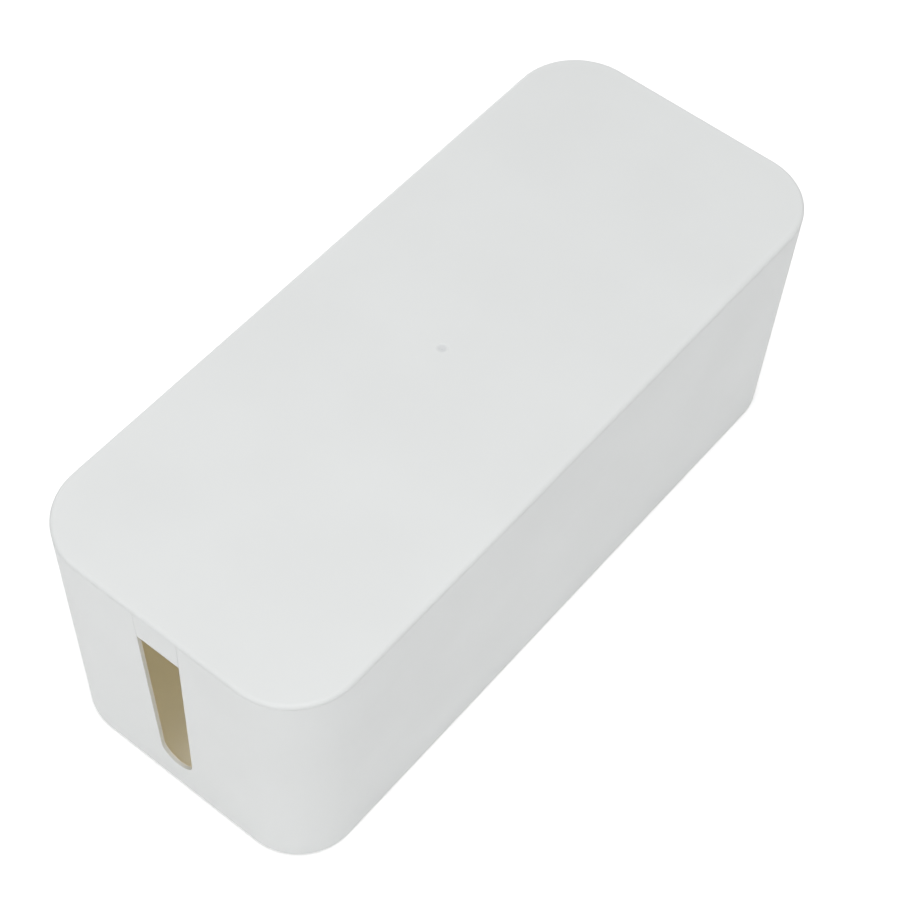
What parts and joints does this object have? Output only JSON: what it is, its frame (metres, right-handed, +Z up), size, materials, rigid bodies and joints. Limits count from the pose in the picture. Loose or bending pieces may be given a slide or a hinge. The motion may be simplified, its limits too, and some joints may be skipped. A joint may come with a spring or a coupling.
{
  "type": "cable management box",
  "caption": "Long white plastic box with rounded corners, a lift-off lid and a cable slot in each end, for hiding a power strip and its spare cable.",
  "frame": {"origin": "centre of the footprint, on the surface that the feet stand on", "axes": "+X along the length, +Y across the width towards the back, +Z up"},
  "size_m": [0.4, 0.1676, 0.1513],
  "materials": {
    "tub_plastic": "fine moulded matt",
    "lid_plastic": "fine moulded matt",
    "foot_rubber": "soft matt"
  },
  "bodies": {
    "tub": {"tub": "tub_plastic", "foot_front_left": "foot_rubber", "foot_front_right": "foot_rubber", "foot_back_left": "foot_rubber", "foot_back_right": "foot_rubber"},
    "lid": {"lid": "lid_plastic"}
  },
  "joints": [
    {"name": "lid_lift", "type": "slide", "parent": "tub", "child": "lid", "axis": [0, 0, 1], "range_m": [0, 0.12]}
  ]
}
